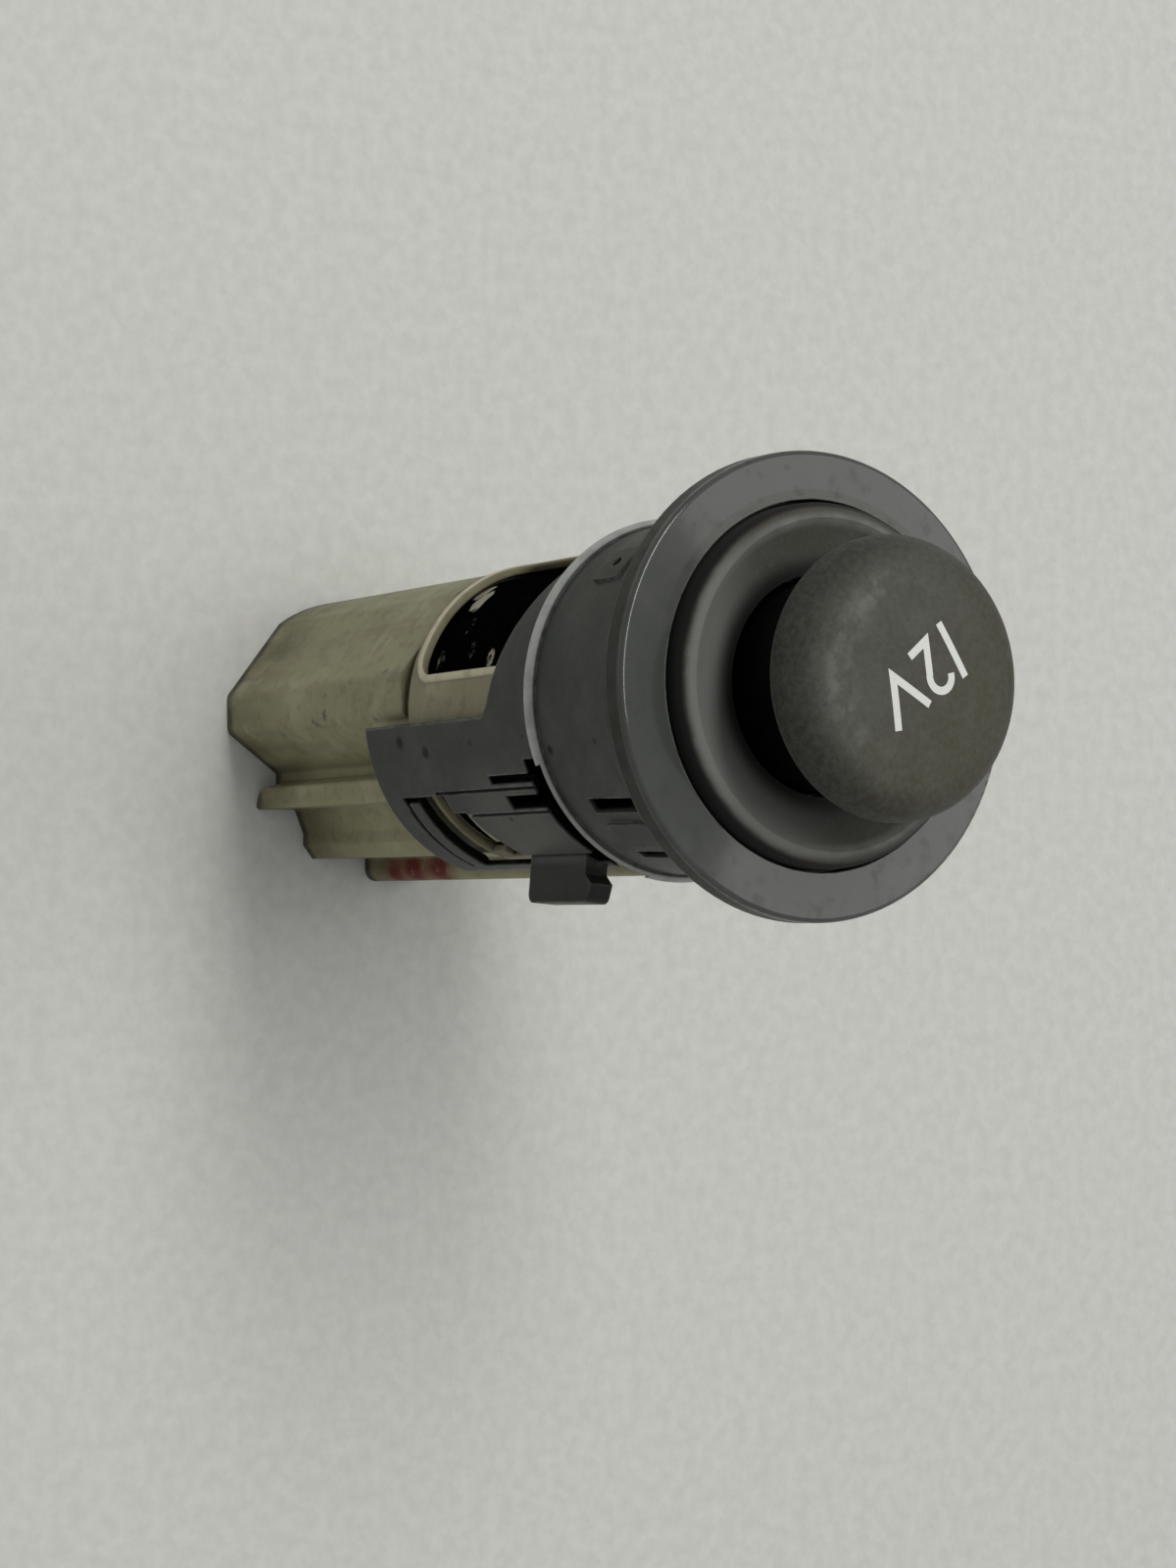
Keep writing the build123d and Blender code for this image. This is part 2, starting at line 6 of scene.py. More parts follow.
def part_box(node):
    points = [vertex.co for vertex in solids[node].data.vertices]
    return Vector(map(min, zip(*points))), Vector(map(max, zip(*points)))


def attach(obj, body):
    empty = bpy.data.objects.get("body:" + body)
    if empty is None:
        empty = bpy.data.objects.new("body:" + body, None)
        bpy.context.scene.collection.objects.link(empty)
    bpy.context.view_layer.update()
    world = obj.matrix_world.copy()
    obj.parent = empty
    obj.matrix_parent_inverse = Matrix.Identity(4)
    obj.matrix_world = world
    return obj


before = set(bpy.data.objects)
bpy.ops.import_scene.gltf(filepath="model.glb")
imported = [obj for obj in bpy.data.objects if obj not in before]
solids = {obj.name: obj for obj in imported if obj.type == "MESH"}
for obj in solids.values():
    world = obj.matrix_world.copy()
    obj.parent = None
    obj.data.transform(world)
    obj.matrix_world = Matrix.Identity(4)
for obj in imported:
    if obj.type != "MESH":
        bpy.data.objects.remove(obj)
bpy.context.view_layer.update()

scene = bpy.context.scene


# Socket housing: the barrel and the keyed connector shroud under it, one moulding in natural nylon.
# The barrel is cream and the shroud olive with age. Handling left grime along the rim, scuffs, worn edges,
# and dabs of red marking ink on the long key. Painted shade darkens the shoulder groove, the shroud's right
# side, the foot of its rim and the crevices; painted highlights lie on the window's lip and along the
# edges.
class Socket:
    """One output of a material's nodes. Arithmetic on it adds Math nodes to the same material."""

    def __init__(self, tree, output):
        self.tree = tree
        self.output = output

    def node(self, kind, inputs, outputs=(0,), **settings):
        """Adds a node, makes its settings, then fills or links its sockets."""
        made = self.tree.nodes.new("ShaderNode" + kind)
        for name, setting in settings.items():
            setattr(made, name, setting)
        for name, value in inputs.items():
            if isinstance(value, Socket):
                self.tree.links.new(value.output, made.inputs[name])
            else:
                made.inputs[name].default_value = value
        sockets = [Socket(self.tree, made.outputs[name]) for name in outputs]
        return sockets if len(sockets) > 1 else sockets[0]

    def calculate(self, operation, first, second=0.0):
        return self.node("Math", {0: first, 1: second}, operation=operation)

    def __add__(self, other):
        return self.calculate("ADD", self, other)

    def __sub__(self, other):
        return self.calculate("SUBTRACT", self, other)

    def __rsub__(self, other):
        return self.calculate("SUBTRACT", other, self)

    def __mul__(self, other):
        return self.calculate("MULTIPLY", self, other)

    def __pow__(self, other):
        return self.calculate("POWER", self, other)

    __radd__ = __add__
    __rmul__ = __mul__

    def to(self, shader, name):
        self.tree.links.new(self.output, shader.inputs[name])


def start_finish(name, constants):
    """A material with its shader's constant sockets set, and the place of a surface point in metres."""
    material = bpy.data.materials.new(name)
    material.use_nodes = True
    tree = material.node_tree
    shader = tree.nodes["Principled BSDF"]
    for socket, value in constants.items():
        shader.inputs[socket].default_value = value
    place = Socket(tree, tree.nodes.new("ShaderNodeTexCoord").outputs["Object"])
    return material, shader, place


def wear(solid, material):
    """Gives a solid its one material."""
    solids[solid].data.materials.clear()
    solids[solid].data.materials.append(material)


def axes(place):
    """Radius from the barrel axis, height above the shroud's rim, and the place across in x and y."""
    x, y, z = place.node("SeparateXYZ", {"Vector": place}, ("X", "Y", "Z"))
    return (x * x + y * y) ** 0.5, z, x, y


def noise(place, grain, detail=4.0, stretch=(1.0, 1.0, 1.0)):
    """Fractal noise about 0.5 with features of the grain's size, drawn out where stretch is under 1."""
    drawn = place.node("VectorMath", {0: place, 1: stretch}, operation="MULTIPLY")
    return place.node("TexNoise", {"Vector": drawn, "Scale": 1 / grain, "Detail": detail, "Roughness": 0.6})


def between(value, low, high):
    """A smooth step from 0 at low to 1 at high, which falls instead of rising if low is the higher."""
    edges = {"Value": value, "From Min": low, "From Max": high}
    return value.node("MapRange", edges, interpolation_type="SMOOTHSTEP")


def blend(share, first, second):
    """The first colour where share is 0, the second where it is 1."""
    return share.node("Mix", {0: share, 6: first, 7: second}, (2,), data_type="RGBA")


def specks(place, spacing, size, share):
    """Round specks that reach a size from their centres, in that share of the cells of that spacing."""
    gap, draw = place.node("TexVoronoi", {"Vector": place, "Scale": 1 / spacing}, ("Distance", "Color"))
    chosen = place.node("SeparateColor", {"Color": draw}, ("Red",))
    return between(gap, size / spacing, 0.4 * size / spacing) * chosen.calculate("LESS_THAN", chosen, share)


def spot(place, centre, radius):
    """1 within about a third of a radius of a point, falling to 0 at the radius."""
    gap = place.node("VectorMath", {0: place, 1: centre}, ("Value",), operation="DISTANCE")
    return between(gap, radius, 0.35 * radius)


def crevice(place, reach, open_share, shut_share):
    """0 in the open, 1 deep in a gap: how much of the sky within a reach is shut out by near walls."""
    light = place.node("AmbientOcclusion", {"Distance": reach}, ("AO",), samples=8)
    return between(light, open_share, shut_share)


def sharp_edges(place, radius):
    """1 along the sharp edges of a solid, where a normal rounded over a radius leaves the face's own."""
    rounded = place.node("Bevel", {"Radius": radius}, samples=4)
    flat = place.node("NewGeometry", {}, ("Normal",))
    match = place.node("VectorMath", {0: rounded, 1: flat}, ("Value",), operation="DOT_PRODUCT")
    return between(match, 0.985, 0.86)


def on_round(radius, azimuth, height):
    """Point in metres on a round of a radius in millimetres, at an azimuth in degrees and a height."""
    turn = np.radians(azimuth)
    return (radius * np.cos(turn) / 1000, radius * np.sin(turn) / 1000, height / 1000)


nylon, shader, place = start_finish("natural_moulding", {
    "Specular IOR Level": 0.35,
    "Subsurface Weight": 0.12,
    "Subsurface Scale": 0.0015,
    "Subsurface Radius": (1.0, 0.8, 0.45),
})
radius, height, x, y = axes(place)
cream = (0.265, 0.24, 0.158, 1)
olive = (0.288, 0.275, 0.161, 1)
pale_and_highlight = (0.40, 0.38, 0.265, 1)
lip_highlight_cream = (0.60, 0.54, 0.405, 1)
brown_grime_and_shade = (0.095, 0.078, 0.036, 1)
grey_scuff = (0.075, 0.070, 0.048, 1)
painted_shade_black = (0.022, 0.019, 0.013, 1)
red_ink = (0.115, 0.001, 0.0005, 1)
pink_wash = (0.15, 0.020, 0.012, 1)
# Each pair of limits, in metres, is where a mark has faded out and where it is full.
olive_height = (0.0375, 0.031)
lip_radius = (0.01322, 0.01330)
lip_height = (0.0360, 0.0366)
lip_off_key = (0.0127, 0.0123)
rim_grime_height = (0.014, 0.0)
valley_x = (0.001, 0.005)
valley_height = (0.024, 0.002)
groove_foot = (0.0338, 0.0350)
groove_top = (0.0362, 0.0354)
foot_shade_height = (0.0016, 0.0005)
key_x = (0.0121, 0.0125)
key_front_y = (0.0012, 0.0016)
key_back_y = (0.0034, 0.0024)
wash_foot = (0.0030, 0.0055)
wash_top = (0.0185, 0.0160)

streaks = noise(place, 0.0028, 6.0, (1.0, 1.0, 0.16))
blotches = noise(place, 0.006, 6.0)
mottle = noise(place, 0.0014, 6.0)
colour = blend(between(height, *olive_height), cream, olive)
colour = blend(between(blotches, 0.48, 0.32) * 0.55, colour, pale_and_highlight)
colour = blend(between(streaks, 0.50, 0.72) * 0.26, colour, brown_grime_and_shade)
colour = blend(between(blotches, 0.54, 0.74) * 0.35, colour, grey_scuff)
colour = blend(between(mottle, 0.50, 0.70) * 0.32, colour, brown_grime_and_shade)
dabs = between(noise(place, 0.0026, 8.0, (1.0, 1.0, 0.5)), 0.61, 0.67)
colour = blend(dabs * 0.12, colour, grey_scuff)
# Painted highlight: the window's raised lip is painted a paler cream than the moulding.
lip_highlight = between(radius, *lip_radius) * between(height, *lip_height) * between(x, *lip_off_key)
colour = blend(lip_highlight * (1.0 - 0.5 * between(mottle, 0.5, 0.7)), colour, lip_highlight_cream)
rim_grime = between(height, *rim_grime_height) * between(blotches + streaks, 0.65, 1.2)
colour = blend(rim_grime * 0.7, colour, brown_grime_and_shade)
# Painted shade: the shroud's right side and the valley by the rib are darkened brown.
valley_shade = between(x, *valley_x) * between(height, *valley_height) * between(streaks, 0.3, 0.6)
colour = blend(valley_shade * 0.06, colour, brown_grime_and_shade)
# Painted shade: the shoulder groove under the barrel's lip is darkened brown.
groove_shade = between(height, *groove_foot) * between(height, *groove_top)
colour = blend(groove_shade * 0.7, colour, brown_grime_and_shade)
# Painted shade: a dark line along the foot of the shroud's rim.
foot_shade_line = between(height, *foot_shade_height) * (0.6 + 0.4 * between(mottle, 0.35, 0.6))
colour = blend(foot_shade_line * 0.95, colour, painted_shade_black)
# Worn edges, with a painted highlight: sharp edges are painted paler.
worn_edge_highlight = sharp_edges(place, 0.0008) * between(mottle, 0.40, 0.60)
colour = blend(worn_edge_highlight * 0.45, colour, pale_and_highlight)
colour = blend(specks(place, 0.0040, 0.00035, 0.4) * 0.75, colour, grey_scuff)

# Scuffs: azimuth in degrees, height and reach in millimetres.
shroud_round = 13.0
scuffs = (
    (-106.0, 31.1, 0.9),
    (-105.5, 31.8, 0.6),
    (-92.6, 20.1, 0.8),
    (-90.4, 17.9, 0.7),
    (-87.6, 18.3, 0.7),
    (-87.9, 29.1, 0.6),
    (-73.6, 26.8, 0.7),
    (-123.8, 14.4, 0.8),
    (-48.4, 12.8, 0.7),
)
flecks = between(noise(place, 0.0005), 0.40, 0.58)
for azimuth, level, reach in scuffs:
    spread = spot(place, on_round(shroud_round, azimuth, level), reach / 1000)
    colour = blend(spread * flecks * 0.85, colour, grey_scuff)

# Ink dabs on the key's front: x, height and reach in millimetres.
ink_y = 0.0017
ink_dabs = ((13.4, 14.6, 2.1), (13.4, 9.7, 2.2), (14.0, 5.9, 1.6))
key_front = between(x, *key_x) * between(y, *key_front_y) * between(y, *key_back_y)
wash = key_front * between(height, *wash_foot) * between(height, *wash_top)
colour = blend(wash * between(mottle, 0.15, 0.5) * 0.75, colour, pink_wash)
ink_breaks = between(noise(place, 0.0012), 0.30, 0.44)
for dab_x, level, reach in ink_dabs:
    dab = spot(place, (dab_x / 1000, ink_y, level / 1000), reach / 1000)
    colour = blend(dab * key_front * ink_breaks, colour, red_ink)
# Painted shade: gaps and crevices are darkened towards black by how much of the sky they see.
colour = blend(crevice(place, 0.0025, 0.55, 0.12) * 0.9, colour, painted_shade_black)
colour.to(shader, "Base Color")
(0.42 + 0.25 * noise(place, 0.002)).to(shader, "Roughness")
soft_edges = place.node("Bevel", {"Radius": 0.0004}, samples=4)
relief = noise(place, 0.0005, 6.0) + 1.2 * streaks
place.node("Bump", {"Height": relief, "Distance": 0.00003, "Normal": soft_edges}).to(shader, "Normal")
wear("socket_housing", nylon)


# Socket liner: the black tube inside the barrel that forms the bore, seen through the windows.
# Moulded plastic in one piece, pushed down to the barrel's floor. Dust lies on it, with pale painted
# reflections of the window's lip.
def black_plastic(name, shine):
    """Black plastic with dust: the material, its shader, the place, and its colour for the wear."""
    jet = (0.0015, 0.0015, 0.0016, 1)
    dusty = (0.03, 0.028, 0.025, 1)
    black, shader, place = start_finish(name, {"Specular IOR Level": shine})
    dust = between(noise(place, 0.0016, 6.0), 0.55, 0.8) + specks(place, 0.003, 0.0002, 0.3)
    (0.14 + 0.3 * dust).to(shader, "Roughness")
    return black, shader, place, blend(dust * 0.12, jet, dusty)


# Painted reflections, pale glints on the black: azimuth in degrees, height and reach in millimetres, and
# strength; a weak one breaks into flecks.
liner_round = 12.3
liner_painted_glints = (
    (-156.0, 35.4, 1.9, 0.8),
    (-149.0, 37.4, 1.9, 0.9),
    (-142.0, 39.0, 2.1, 1.0),
    (-138.5, 39.5, 1.6, 0.5),
    (-126.0, 40.9, 1.9, 0.30),
    (-109.0, 47.1, 1.7, 0.45),
    (-114.0, 43.5, 1.8, 0.32),
    (-110.5, 38.6, 2.0, 0.34),
)
glint_flattening = 1.6
glint_reflection_cream = (0.40, 0.375, 0.31, 1)
liner_black, shader, place, colour = black_plastic("black_gloss", 0.0)
flattened = place.node("VectorMath", {0: place, 1: (1.0, 1.0, glint_flattening)}, operation="MULTIPLY")
breaks = 0.1 + 1.8 * noise(place, 0.0006, 5.0)
# Painted reflections: pale glints painted onto the black liner.
for azimuth, level, reach, strength in liner_painted_glints:
    centre = on_round(liner_round, azimuth, glint_flattening * level)
    glint = spot(flattened, centre, reach / 1000) * strength * breaks
    colour = blend(between(glint, 0.30, 0.55) * 0.9, colour, glint_reflection_cream)
colour.to(shader, "Base Color")
wear("socket_liner", liner_black)


# Contacts: a sprung steel strap whose two arms grip a plug, and a brass tab under a brass centre rivet.
# Stamped from strip, with the rolling marks left along them.
def contact_metal(name, bright, dull):
    """Stamped metal: fine rolling lines along the height, with dull patches where it has tarnished."""
    metal, shader, place = start_finish(name, {"Metallic": 1.0})
    lines = noise(place, 0.0003, 3.0, (1.0, 1.0, 0.04))
    tarnish = between(noise(place, 0.003), 0.45, 0.75)
    blend(tarnish * 0.6, bright, dull).to(shader, "Base Color")
    (0.22 + 0.18 * lines + 0.2 * tarnish).to(shader, "Roughness")
    place.node("Bump", {"Height": lines, "Distance": 0.00001}).to(shader, "Normal")
    return metal


steel_bright = (0.58, 0.58, 0.56, 1)
steel_dull = (0.33, 0.31, 0.28, 1)
brass_bright = (0.72, 0.55, 0.27, 1)
brass_dull = (0.42, 0.29, 0.13, 1)
steel = contact_metal("spring_steel", steel_bright, steel_dull)
brass = contact_metal("brass_contact", brass_bright, brass_dull)
wear("ground_contact", steel)
wear("positive_tab", brass)
wear("centre_contact", brass)


# Trim sleeve: the cool grey plastic moulding that snaps over the barrel and shows in the panel, with bezel,
# band, aprons and latch tongues. Satin with a fine grain, glossy only on the bezel's face. A brown film
# lies on it in patches, the edges are worn, and there are nicks and dirt. The latch tongue is lighter. A
# painted highlight lies along the bead and the edges; painted shade darkens the band's left side, the
# bezel's side, the lug and the faces in the cuts.
grey, shader, place = start_finish("grey_satin", {"Specular IOR Level": 0.14, "Coat Roughness": 0.08})
radius, height, x, _ = axes(place)
grey_base = (0.050, 0.054, 0.050, 1)
grey_light = (0.097, 0.100, 0.090, 1)
lug_shade_grey = (0.030, 0.033, 0.031, 1)
worn_highlight_grey = (0.32, 0.33, 0.31, 1)
bead_highlight_grey = (0.47, 0.48, 0.46, 1)
bezel_grey = (0.049, 0.053, 0.048, 1)
brown_film_and_shade = (0.026, 0.024, 0.019, 1)
dirt = (0.016, 0.015, 0.012, 1)
nick_and_shade_black = (0.002, 0.002, 0.002, 1)
sleeve_round = 14.4
latch_middle = on_round(sleeve_round, -44.0, 49.0)
latch_reach = 0.0085
latch_radius = (0.0149, 0.0146)
lug_radius = (0.0147, 0.0152)
lug_height = (0.0560, 0.0550)
face_radius = (0.0146, 0.0147)
face_height = (0.0770, 0.0776)
band_shade_x = (-0.003, -0.012)
band_shade_height = (0.0600, 0.0610)
band_shade_radius = (0.0155, 0.0153)
bezel_side_radius = (0.0166, 0.0181)
bezel_side_height = (0.0776, 0.0772)
bead_radius = (0.01462, 0.01485)
bead_top = (0.0603, 0.0593)
bead_foot = (0.0575, 0.0578)
inside_shade_radius = (0.01432, 0.01412)

rubbed = noise(place, 0.006, 5.0)
mottle = noise(place, 0.0016, 6.0)
scratches = noise(place, 0.0012, 4.0, (1.0, 0.12, 0.4))
colour = blend(between(rubbed, 0.42, 0.7) * 0.45, grey_base, grey_light)
colour = blend(between(mottle, 0.50, 0.75) * 0.25, colour, brown_film_and_shade)
colour = blend(between(scratches, 0.66, 0.76) * 0.35, colour, grey_light)
# Lighter grey round the latch tongue.
latch_lighter = spot(place, latch_middle, latch_reach) * between(radius, *latch_radius)
colour = blend(latch_lighter * 0.9, colour, grey_light)
# Painted shade: the lug's face and top are darkened.
lug_shade = between(radius, *lug_radius) * between(height, *lug_height)
colour = blend(lug_shade * 0.8, colour, lug_shade_grey)
polish = between(radius, *face_radius) * between(height, *face_height)
colour = blend(polish * (0.95 - 0.4 * between(rubbed, 0.45, 0.7)), colour, bezel_grey)
# Painted shade: the band's left side is darkened brown.
band_left_shade = between(x, *band_shade_x) * between(height, *band_shade_height) * between(radius, *band_shade_radius)
colour = blend(band_left_shade * 0.8, colour, brown_film_and_shade)
# Painted shade: the bezel's outer side is darkened brown in patches.
bezel_side_shade = between(radius, *bezel_side_radius) * between(height, *bezel_side_height)
colour = blend(bezel_side_shade * (0.6 + 0.4 * between(mottle, 0.4, 0.65)), colour, brown_film_and_shade)
# Painted highlight: a pale band along the bead under the band.
bead_highlight = between(radius, *bead_radius) * between(height, *bead_top) * between(height, *bead_foot)
colour = blend(bead_highlight * (0.75 + 0.25 * between(mottle, 0.35, 0.60)), colour, bead_highlight_grey)
# Worn edges, with a painted highlight: sharp edges are painted paler.
worn_edge_highlight = sharp_edges(place, 0.0003) * between(mottle, 0.35, 0.6)
colour = blend(worn_edge_highlight * 0.5, colour, worn_highlight_grey)
colour = blend(specks(place, 0.003, 0.0004, 0.4) * 0.75, colour, dirt)

# Nicks: azimuth in degrees, height and reach in millimetres.
nicks = ((-75.2, 39.9, 0.75), (-79.2, 35.8, 0.8), (-72.6, 60.1, 0.55))
flecks = between(noise(place, 0.0006), 0.25, 0.45)
for azimuth, level, reach in nicks:
    nick = spot(place, on_round(sleeve_round, azimuth, level), reach / 1000)
    colour = blend(nick * flecks * 0.95, colour, nick_and_shade_black)
# Painted shade: faces inside the band's radius, in the slots and cuts, are painted black.
colour = blend(between(radius, *inside_shade_radius), colour, nick_and_shade_black)
colour.to(shader, "Base Color")
(0.34 + 0.2 * noise(place, 0.0009, 6.0)).to(shader, "Roughness")
(polish * (1.0 - 0.3 * between(mottle, 0.5, 0.7))).to(shader, "Coat Weight")
soft_edges = place.node("Bevel", {"Radius": 0.00022}, samples=4)
grain = noise(place, 0.00022, 5.0) + 0.6 * noise(place, 0.0025)
place.node("Bump", {"Height": grain, "Distance": 0.000014, "Normal": soft_edges}).to(shader, "Normal")
wear("trim_sleeve", grey)


# Plug core: the black stem that fills the bore, with the neck that carries dish and knob.
# Moulded in the same black plastic as the liner, with a trace of gloss, and only pushed in.
core_black, shader, place, colour = black_plastic("core_black_gloss", 0.05)
colour.to(shader, "Base Color")
wear("plug_core", core_black)


# Plug dish: the ring round the neck, with a raised round rim, moulded and painted in warm taupe soft-touch.
# The front and right are painted paler as painted light, and the crest of the rim is worn pale with a
# painted highlight. Painted shade darkens its outer side brown, and round the neck and in the gap to the
# bezel black.
def soft_touch(name):
    """Soft-touch paint: mottled taupe with a fine grain, and its shader, place and colour for the wear."""
    taupe_dark = (0.058, 0.058, 0.047, 1)
    taupe_light = (0.076, 0.077, 0.068, 1)
    taupe_grain = (0.13, 0.13, 0.12, 1)
    paint, shader, place = start_finish(name, {
        "Specular IOR Level": 0.3,
        "Sheen Weight": 0.06,
        "Sheen Roughness": 0.5,
    })
    mottle = noise(place, 0.0035, 6.0)
    fine = noise(place, 0.00035, 5.0)
    colour = blend(between(mottle, 0.35, 0.7), taupe_dark, taupe_light)
    colour = blend(between(fine, 0.5, 0.75) * 0.35, colour, taupe_grain)
    (0.55 + 0.25 * fine).to(shader, "Roughness")
    place.node("Bump", {"Height": fine + 0.5 * mottle, "Distance": 0.00004}).to(shader, "Normal")
    return paint, shader, place, colour


front_painted_light = (0.165, 0.168, 0.157, 1)
crest_worn_highlight = (0.17, 0.172, 0.16, 1)
side_shade_brown = (0.046, 0.037, 0.028, 1)
neck_shade_black = (0.003, 0.003, 0.0027, 1)
gap_shade_black = (0.003, 0.003, 0.003, 1)
front_reach = (0.003, 0.013)
neck_shade_radius = (0.0108, 0.0089)
crest_inner = (0.0122, 0.0129)
crest_outer = (0.0137, 0.0131)
brown_radius = (0.0134, 0.0140)
black_radius = (0.0137, 0.0141)

dish_paint, shader, place, colour = soft_touch("dish_soft_touch")
radius, _, x, y = axes(place)
patches = between(noise(place, 0.0018, 5.0), 0.35, 0.65)
# Painted light: the dish is painted paler towards the front and right.
colour = blend(between(0.4 * x - 1.3 * y, *front_reach) * 0.95, colour, front_painted_light)
# Painted shade: the dish is darkened to black round the neck, under the knob.
colour = blend(between(radius, *neck_shade_radius) * 0.96, colour, neck_shade_black)
crest = between(radius, *crest_inner) * between(radius, *crest_outer)
# The rim's crest is worn pale, with a painted highlight along it.
colour = blend(crest * (0.5 + 0.4 * patches), colour, crest_worn_highlight)
# Painted shade: the dish's outer side is darkened brown.
colour = blend(between(radius, *brown_radius) * (0.5 + 0.4 * patches), colour, side_shade_brown)
# Painted shade: the lowest part of the dish's side, in the gap to the bezel, is black.
colour = blend(between(radius, *black_radius), colour, gap_shade_black)
colour.to(shader, "Base Color")
wear("plug_dish", dish_paint)


# Plug knob: the mushroom grip pressed on the neck, moulded and painted in the same taupe.
# Fingers have rubbed its crown pale near the edge and its front side in patches, and a brown film lies on
# the far side. Painted shade darkens it round the edge, most at the front, and underneath.
front_scuff = (0.15, 0.15, 0.14, 1)
ring_worn = (0.16, 0.16, 0.15, 1)
far_brown = (0.058, 0.053, 0.030, 1)
edge_shade_brown = (0.017, 0.016, 0.012, 1)
under_shade_brown = (0.015, 0.014, 0.011, 1)
pit_brown = (0.020, 0.019, 0.014, 1)
grain_pale = (0.11, 0.11, 0.095, 1)
front_y = (0.001, -0.007)
front_height = (0.0902, 0.0885)
ring_inner = (0.0052, 0.0072)
ring_outer = (0.0092, 0.0078)
ring_y = (0.003, -0.004)
far_reach = (-0.005, 0.008)
edge_radius = (0.0072, 0.0106)
edge_y = (0.004, -0.006)
under_height = (0.0893, 0.0868)

knob_paint, shader, place, colour = soft_touch("knob_soft_touch")
radius, height, x, y = axes(place)
mottle = noise(place, 0.0035, 6.0)
patches = between(noise(place, 0.0015, 8.0), 0.40, 0.62)
lower_front = between(y, *front_y) * between(height, *front_height)
colour = blend(lower_front * patches * 0.35, colour, front_scuff)
worn_ring = between(radius, *ring_inner) * between(radius, *ring_outer) * between(y, *ring_y)
colour = blend(worn_ring * patches * between(mottle, 0.38, 0.60) * 0.7, colour, ring_worn)
far_film = between(0.8 * x + y, *far_reach) * (0.6 + 0.4 * patches)
colour = blend(far_film * 0.85, colour, far_brown)
# Painted shade: the knob darkens towards its edge, most at the front.
edge_shade = between(radius, *edge_radius) * (0.35 + 0.5 * between(y, *edge_y))
colour = blend(edge_shade * (0.8 + 0.2 * patches), colour, edge_shade_brown)
# Painted shade: the knob's underside is darkened.
under_shade = between(height, *under_height)
colour = blend(under_shade * (0.6 + 0.3 * patches), colour, under_shade_brown)
pits = between(noise(place, 0.0008, 3.0), 0.57, 0.66)
colour = blend(pits * (0.16 + 0.5 * lower_front), colour, pit_brown)
grain = between(noise(place, 0.0005, 5.0), 0.35, 0.65)
colour = blend(grain * 0.25, colour, grain_pale)
colour.to(shader, "Base Color")
wear("plug_knob", knob_paint)


# Rating mark: the voltage, 12 V, in thin white strokes pad-printed on the knob's crown.
# Set askew, as the plug goes into its socket at any turn; the ink is a film that follows the crown.
print_white = (0.72, 0.73, 0.71, 1)
print_thin = (0.42, 0.42, 0.40, 1)
ink, shader, place = start_finish("white_print", {"Specular IOR Level": 0.3})
thin = between(noise(place, 0.0005, 5.0), 0.55, 0.8)
blend(thin * 0.4, print_white, print_thin).to(shader, "Base Color")
(0.5 + 0.2 * thin).to(shader, "Roughness")
crown_flat = 0.00815
crown_rise = 0.0005
crown_ball = (crown_flat ** 2 + crown_rise ** 2) / (2 * crown_rise)
crown_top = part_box("plug_knob")[1].z
print_up = np.array((0.85, 0.526))
print_right = np.array((0.526, -0.85))
stroke_width = 0.00062
stroke_step = 0.0003
ink_film = 0.00003


def stroke(name, path):
    """A flat bar carried along a path in millimetres on the crown, in short steps that follow its curve.

    Each corner of the path is mitred: its two sides lie half a width off along the mean of the normals
    of the runs that meet there, lengthened by the secant of half the turn. The bar's height is the
    crown's ball, with the film's thickness above it and as much sunk below.
    """
    corners = np.array(path, float) / 1000
    along = np.append(0.0, np.cumsum(np.linalg.norm(np.diff(corners, axis=0), axis=1)))
    steps = np.unique(np.round(np.append(along, np.arange(0.0, along[-1], stroke_step)), 6))
    points = np.stack([np.interp(steps, along, axis) for axis in corners.T], axis=1)
    runs = np.diff(points, axis=0)
    runs /= np.linalg.norm(runs, axis=1)[:, None]
    normals = np.stack((-runs[:, 1], runs[:, 0]), axis=1)
    before = np.vstack((normals[:1], normals))
    after = np.vstack((normals, normals[-1:]))
    mitre = (before + after) / (1 + np.sum(before * after, axis=1))[:, None]
    side = mitre * stroke_width / 2
    flat = np.stack((points + side, points - side, points - side, points + side), axis=1)
    ground = flat[..., :1] * print_right + flat[..., 1:] * print_up
    lift = np.array((1.0, 1.0, -1.0, -1.0)) * ink_film
    level = crown_top - np.sum(ground ** 2, axis=2) / (2 * crown_ball) + lift
    bar = np.concatenate((ground, level[..., None]), axis=2)
    count = len(points)
    corner = np.arange(4)
    here = np.arange(count - 1)[:, None] * 4 + corner
    beside = np.arange(count - 1)[:, None] * 4 + (corner + 1) % 4
    sides = np.stack((here, beside, beside + 4, here + 4), axis=2).reshape(-1, 4)
    caps = np.array((corner[::-1], corner + 4 * (count - 1)))
    mesh = bpy.data.meshes.new(name)
    mesh.from_pydata(bar.reshape(-1, 3).tolist(), [], np.vstack((sides, caps)).tolist())
    mesh.materials.append(ink)
    piece = bpy.data.objects.new(name, mesh)
    scene.collection.objects.link(piece)
    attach(piece, "plug")


bowl_middle = np.array((-1.60, 1.00))
bowl_reach = np.array((1.05, 1.10))
bowl_turn = np.linspace(np.radians(165), np.radians(-38), 18)
bowl = bowl_middle + bowl_reach * np.stack((np.cos(bowl_turn), np.sin(bowl_turn)), axis=1)
foot_of_two = [(-1.85, -1.98), (0.15, -1.72)]
stroke("print_one", ((-3.72, -2.45), (-3.72, 2.25)))
stroke("print_two", bowl.tolist() + foot_of_two)
stroke("print_volt", ((0.42, 2.25), (2.28, -1.30), (3.95, 2.45)))


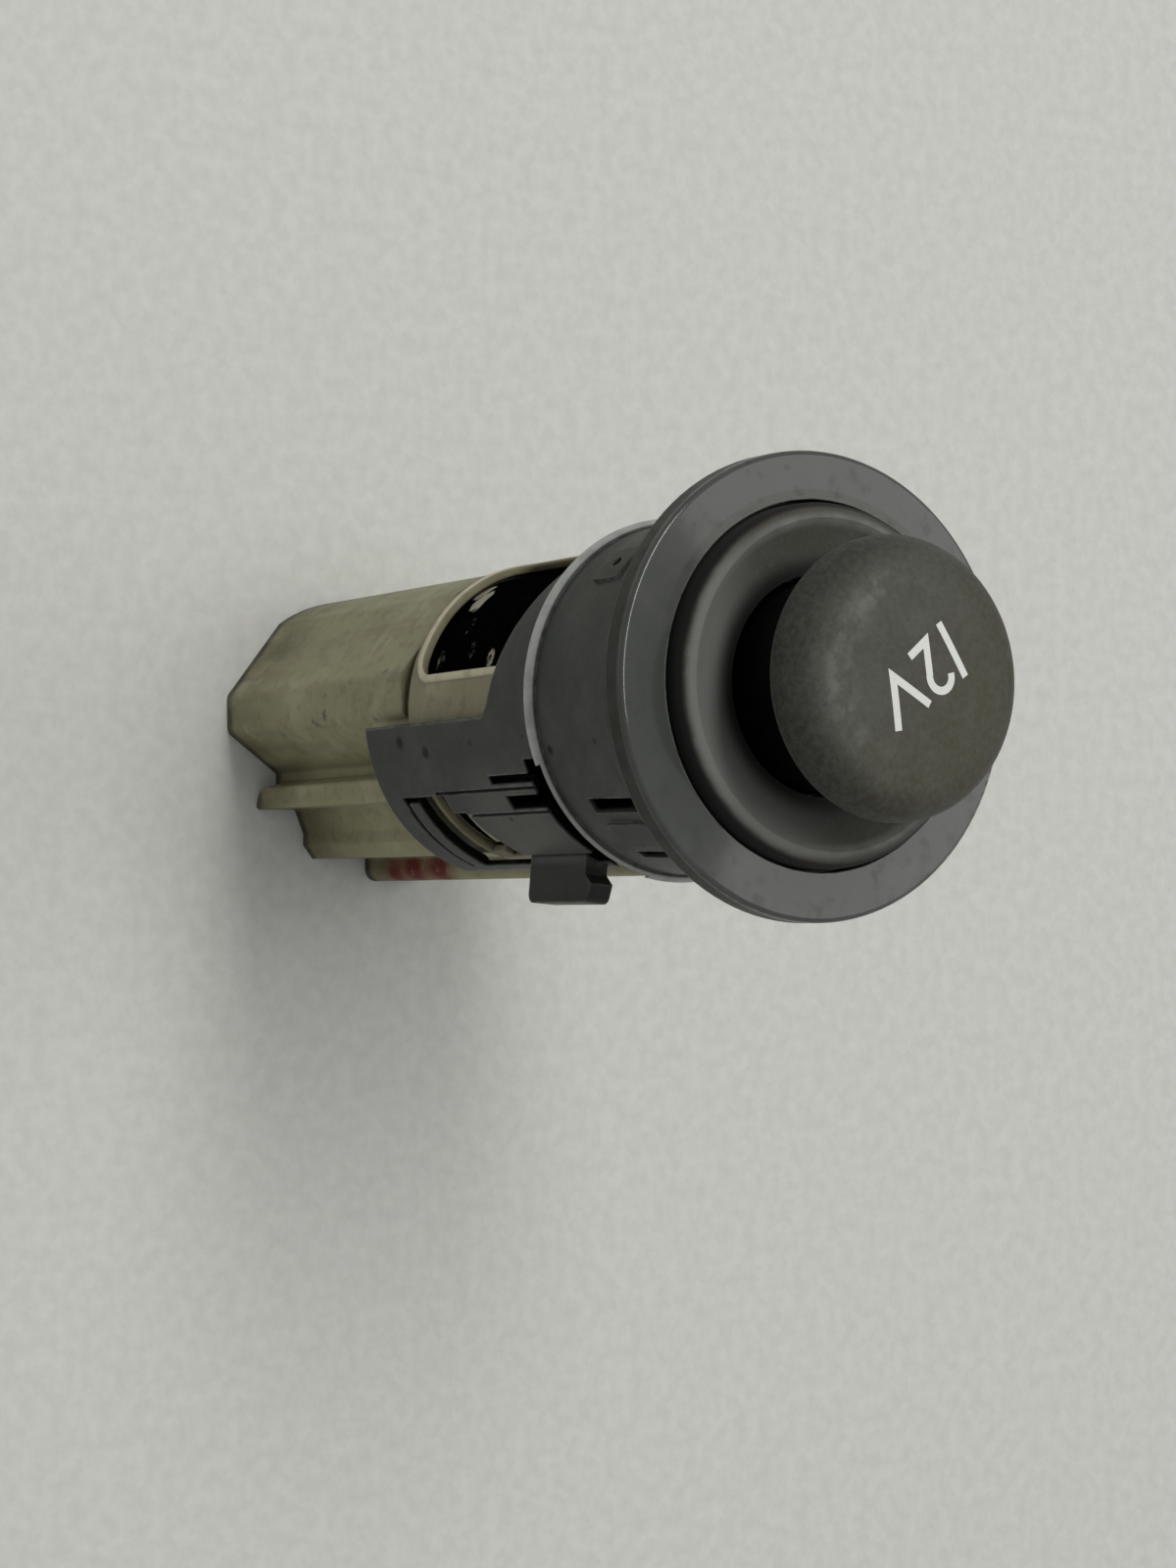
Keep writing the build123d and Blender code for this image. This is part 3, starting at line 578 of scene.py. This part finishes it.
# Floor: a plain pale sheet that the socket stands on, wide enough for every view.
# Matt paper white with the faintest unevenness.
paper_dark = (0.63, 0.636, 0.61, 1)
paper_light = (0.71, 0.716, 0.69, 1)
paper, shader, place = start_finish("floor_paper", {"Roughness": 0.9, "Specular IOR Level": 0.1})
fibre = between(noise(place, 0.0016, 8.0), 0.25, 0.75)
blend(fibre, paper_dark, paper_light).to(shader, "Base Color")
floor_half = 3.0
floor_grid = np.array(((-1, -1, 0), (1, -1, 0), (1, 1, 0), (-1, 1, 0))) * floor_half
floor_mesh = bpy.data.meshes.new("floor")
floor_mesh.from_pydata(floor_grid.tolist(), [], [(0, 1, 2, 3)])
floor_mesh.materials.append(paper)
floor = bpy.data.objects.new("floor", floor_mesh)
scene.collection.objects.link(floor)


# Light: a long soft box high over the socket and to its left, a weaker square one behind it, and a dim
# room, a little brighter towards the back. The socket's front is lit mostly by the room and the floor.
def soft_box(name, origin, aim, width, length, power):
    """A lamp at a point that faces another, a shade warm, its length in the plane of its tilt."""
    lamp = bpy.data.lights.new(name, "AREA")
    lamp.color = (1.0, 1.0, 0.95)
    lamp.shape = "RECTANGLE"
    lamp.size = width
    lamp.size_y = length
    lamp.energy = power
    box = bpy.data.objects.new(name, lamp)
    box.location = origin
    box.rotation_euler = (Vector(aim) - Vector(origin)).to_track_quat("-Z", "Y").to_euler()
    scene.collection.objects.link(box)


soft_box("side_box", (-0.26, -0.005, 0.80), (0, 0, 0.04), 0.16, 0.6, 2.85)
soft_box("back_box", (-0.057, 0.539, 0.68), (0, 0, 0.078), 0.36, 0.36, 0.62)
room_level = 0.38
room_rise = 0.08
room = bpy.data.worlds.new("room")
room.use_nodes = True
walls = room.node_tree.nodes["Background"]
walls.inputs["Color"].default_value = (1.0, 1.0, 0.985, 1)
sight = Socket(room.node_tree, room.node_tree.nodes.new("ShaderNodeTexCoord").outputs["Generated"])
behind = sight.node("SeparateXYZ", {"Vector": sight}, ("Y",))
(room_level + room_rise * behind).to(walls, "Strength")
scene.world = room


# Camera: held over the socket from the front, turned on its side as the photograph was taken.
# A long lens, placed from the outlines of bezel, band and barrel.
camera_right = Vector((0.01451, 0.84428, 0.53571))
camera_down = Vector((0.99935, 0.00547, -0.03569))
camera_ahead = Vector((-0.03307, 0.53588, -0.84365))
camera_place = Vector((0.015719, -0.150511, 0.280828))
lens = bpy.data.cameras.new("camera")
lens.lens = 74.25
lens.sensor_width = 36
camera = bpy.data.objects.new("camera", lens)
turned = Matrix((camera_right, -camera_down, -camera_ahead)).transposed().to_4x4()
turned.translation = camera_place
camera.matrix_world = turned
scene.collection.objects.link(camera)
scene.camera = camera
scene.view_settings.view_transform = "Standard"
